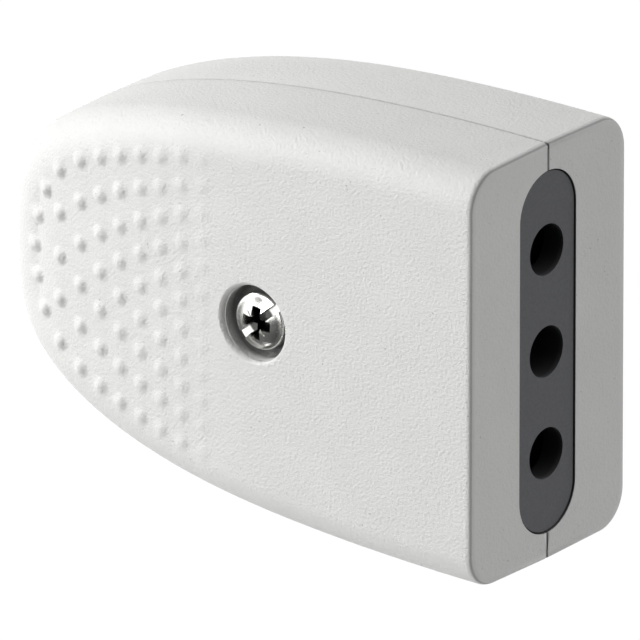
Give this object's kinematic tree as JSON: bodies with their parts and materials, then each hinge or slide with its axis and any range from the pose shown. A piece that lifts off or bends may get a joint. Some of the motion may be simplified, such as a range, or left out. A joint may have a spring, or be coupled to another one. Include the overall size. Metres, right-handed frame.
{
  "type": "flying socket",
  "caption": "Rewirable in-line cord socket with a row of three round pin holes, two screwed half shells, shuttered outer holes and a cord grip.",
  "frame": {"origin": "centre of the body's length and width, on the flat outside of the rear shell", "axes": "+X out of the mouth with the pin holes, away from the cord; +Y across the body; +Z from the rear shell towards the front shell and its screw"},
  "size_m": [0.0547, 0.0388, 0.0217],
  "materials": {
    "shell_plastic": "fine spark-eroded texture",
    "face_plastic": "matte",
    "shutter_plastic": "matte",
    "clamp_plastic": "satin",
    "contact_brass": "satin",
    "plated_steel": "zinc plated",
    "spring_steel": "satin"
  },
  "bodies": {
    "rear_body": {"rear_shell": "shell_plastic", "socket_face": "face_plastic", "contact_left": "contact_brass", "contact_earth": "contact_brass", "contact_right": "contact_brass", "sleeve_ring_left": "spring_steel", "sleeve_ring_earth": "spring_steel", "sleeve_ring_right": "spring_steel", "shutter_spring_left": "spring_steel", "shutter_spring_right": "spring_steel", "assembly_nut": "plated_steel"},
    "front_cover": {"front_shell": "shell_plastic"},
    "assembly_screw": {"assembly_screw": "plated_steel"},
    "shutter": {"shutter": "shutter_plastic"},
    "terminal_screw_left": {"terminal_screw_left": "plated_steel"},
    "terminal_screw_earth": {"terminal_screw_earth": "plated_steel"},
    "terminal_screw_right": {"terminal_screw_right": "plated_steel"},
    "cord_clamp": {"cord_clamp": "clamp_plastic"},
    "clamp_screw_left": {"clamp_screw_left": "plated_steel"},
    "clamp_screw_right": {"clamp_screw_right": "plated_steel"}
  },
  "joints": [
    {"name": "front_cover_lift", "type": "slide", "parent": "rear_body", "child": "front_cover", "axis": [0, 0, 1], "range_m": [0, 0.03]},
    {"name": "assembly_screw_turn", "type": "hinge", "parent": "front_cover", "child": "assembly_screw", "pos_m": [0.0034, 0, 0.01955], "axis": [0, 0, 1], "continuous": true},
    {"name": "shutter_slide", "type": "slide", "parent": "rear_body", "child": "shutter", "axis": [0, 0, -1], "range_m": [0, 0.0046], "stiffness_N_per_m": 120, "springref_m": -0.003, "deforming": ["shutter_spring_left", "shutter_spring_right"]},
    {"name": "terminal_screw_left_travel", "type": "slide", "parent": "rear_body", "child": "terminal_screw_left", "axis": [0, 0, -1], "range_m": [0, 0.0022]},
    {"name": "terminal_screw_earth_travel", "type": "slide", "parent": "rear_body", "child": "terminal_screw_earth", "axis": [0, 0, -1], "range_m": [0, 0.0022]},
    {"name": "terminal_screw_right_travel", "type": "slide", "parent": "rear_body", "child": "terminal_screw_right", "axis": [0, 0, -1], "range_m": [0, 0.0022]},
    {"name": "cord_clamp_travel", "type": "slide", "parent": "rear_body", "child": "cord_clamp", "axis": [0, 0, -1], "range_m": [0, 0.0034]},
    {"name": "clamp_screw_left_turn", "type": "hinge", "parent": "cord_clamp", "child": "clamp_screw_left", "pos_m": [-0.0126, -0.0068, 0.0159], "axis": [0, 0, -1], "range_deg": [0, 2449]},
    {"name": "clamp_screw_right_turn", "type": "hinge", "parent": "cord_clamp", "child": "clamp_screw_right", "pos_m": [-0.0126, 0.0068, 0.0159], "axis": [0, 0, -1], "range_deg": [0, 2449]}
  ],
  "couplings": [
    {"joint": "clamp_screw_left_turn", "follows": "cord_clamp_travel", "rad_per_m": 12566},
    {"joint": "clamp_screw_right_turn", "follows": "cord_clamp_travel", "rad_per_m": 12566}
  ]
}
